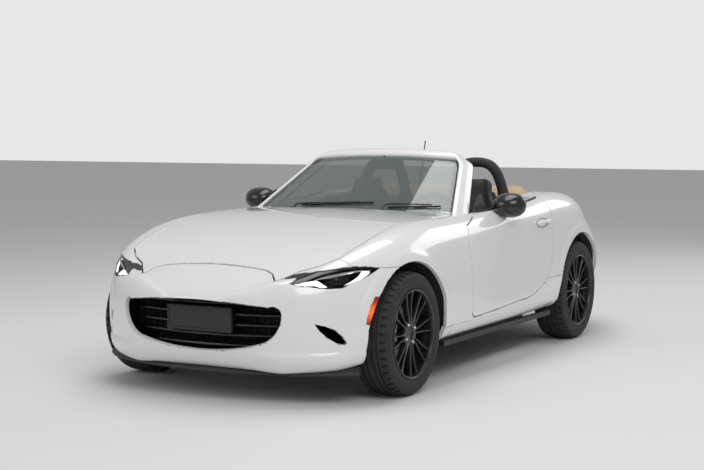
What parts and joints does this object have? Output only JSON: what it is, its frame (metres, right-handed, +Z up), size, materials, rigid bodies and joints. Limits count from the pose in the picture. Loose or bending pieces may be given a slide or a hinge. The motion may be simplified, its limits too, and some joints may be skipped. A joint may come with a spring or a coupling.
{
  "type": "two-seat roadster convertible",
  "caption": "Two-seat open roadster with folded fabric top, opening doors, bonnet and boot, steered front wheels and black spoked rims.",
  "frame": {"origin": "on the ground under the middle of the car", "axes": "+X to the nose, +Y to the car's left, +Z up"},
  "size_m": [3.914, 1.836, 1.2372],
  "materials": {
    "body_paint": "white pearl gloss",
    "black_trim": "grained",
    "gloss_black": "gloss",
    "underbody": "satin coated",
    "screen_glass": "clear, faint green",
    "lamp_lens": "clear",
    "tail_lens": "red",
    "marker_lens": "amber red lens",
    "tyre": "matt rubber",
    "wheel_black": "gloss black",
    "steel": "machined",
    "casting": "cast",
    "exhaust_steel": "polished tips",
    "seat_leather": "black with stitching",
    "cabin_plastic": "soft grained",
    "top_fabric": "tan woven",
    "mirror_black": "gloss"
  },
  "bodies": {
    "chassis": {"front_fenders": "body_paint", "front_bumper": "body_paint", "rear_quarters": "body_paint", "rear_deck": "body_paint", "rear_bumper": "body_paint", "sills": "body_paint", "windscreen_frame": "body_paint", "chin_spoiler": "black_trim", "grille": "black_trim", "rear_diffuser": "black_trim", "sill_skirts": "black_trim", "cowl": "black_trim", "top_well": "black_trim", "wheel_liners": "black_trim", "roll_hoops": "gloss_black", "antenna": "gloss_black", "floor_pan": "underbody", "front_bulkhead": "underbody", "rear_bulkhead": "underbody", "frame_rails": "underbody", "windscreen": "screen_glass", "headlamps": "lamp_lens", "tail_lamps": "tail_lens", "side_markers": "marker_lens", "dashboard": "cabin_plastic", "centre_console": "cabin_plastic", "interior_mirror": "cabin_plastic", "seat_left": "seat_leather", "seat_right": "seat_leather", "soft_top": "top_fabric", "engine": "casting", "gearbox_and_propshaft": "casting", "front_suspension": "casting", "rear_suspension": "casting", "exhaust": "exhaust_steel"},
    "bonnet": {"hood": "body_paint"},
    "boot": {"boot_lid": "body_paint"},
    "left_door": {"door_left": "body_paint", "mirror_left": "mirror_black"},
    "right_door": {"door_right": "body_paint", "mirror_right": "mirror_black"},
    "steering": {"steering_wheel": "cabin_plastic"},
    "left_knuckle": {"knuckle_front_left": "casting"},
    "right_knuckle": {"knuckle_front_right": "casting"},
    "front_left_wheel": {"rim_front_left": "wheel_black", "tyre_front_left": "tyre"},
    "front_right_wheel": {"rim_front_right": "wheel_black", "tyre_front_right": "tyre"},
    "rear_left_wheel": {"rim_rear_left": "wheel_black", "tyre_rear_left": "tyre"},
    "rear_right_wheel": {"rim_rear_right": "wheel_black", "tyre_rear_right": "tyre"}
  },
  "joints": [
    {"name": "steer_left", "type": "hinge", "parent": "chassis", "child": "left_knuckle", "pos_m": [1.252, 0.69, 0.308], "axis": [0, 0, 1], "range_deg": [-33, 33]},
    {"name": "steer_right", "type": "hinge", "parent": "chassis", "child": "right_knuckle", "pos_m": [1.252, -0.69, 0.308], "axis": [0, 0, 1], "range_deg": [-33, 33]},
    {"name": "steering_wheel_turn", "type": "hinge", "parent": "chassis", "child": "steering", "pos_m": [-0.005, 0.365, 0.78], "axis": [-0.9272, 0, 0.3746], "range_deg": [-470, 470]},
    {"name": "spin_front_left", "type": "hinge", "parent": "left_knuckle", "child": "front_left_wheel", "pos_m": [1.252, 0.7475, 0.308], "axis": [0, 1, 0], "continuous": true},
    {"name": "spin_front_right", "type": "hinge", "parent": "right_knuckle", "child": "front_right_wheel", "pos_m": [1.252, -0.7475, 0.308], "axis": [0, 1, 0], "continuous": true},
    {"name": "spin_rear_left", "type": "hinge", "parent": "chassis", "child": "rear_left_wheel", "pos_m": [-1.058, 0.7525, 0.308], "axis": [0, 1, 0], "continuous": true},
    {"name": "spin_rear_right", "type": "hinge", "parent": "chassis", "child": "rear_right_wheel", "pos_m": [-1.058, -0.7525, 0.308], "axis": [0, 1, 0], "continuous": true},
    {"name": "open_left_door", "type": "hinge", "parent": "chassis", "child": "left_door", "pos_m": [0.5, 0.84, 0.3], "axis": [0, 0, -1], "range_deg": [0, 65]},
    {"name": "open_right_door", "type": "hinge", "parent": "chassis", "child": "right_door", "pos_m": [0.5, -0.84, 0.3], "axis": [0, 0, 1], "range_deg": [0, 65]},
    {"name": "open_bonnet", "type": "hinge", "parent": "chassis", "child": "bonnet", "pos_m": [0.45, 0, 0.822], "axis": [0, -1, 0], "range_deg": [0, 50]},
    {"name": "open_boot", "type": "hinge", "parent": "chassis", "child": "boot", "pos_m": [-1.305, 0, 0.901], "axis": [0, 1, 0], "range_deg": [0, 70]}
  ],
  "couplings": [
    {"joint": "steer_right", "follows": "steer_left", "ratio": 1},
    {"joint": "steering_wheel_turn", "follows": "steer_left", "ratio": 14}
  ]
}
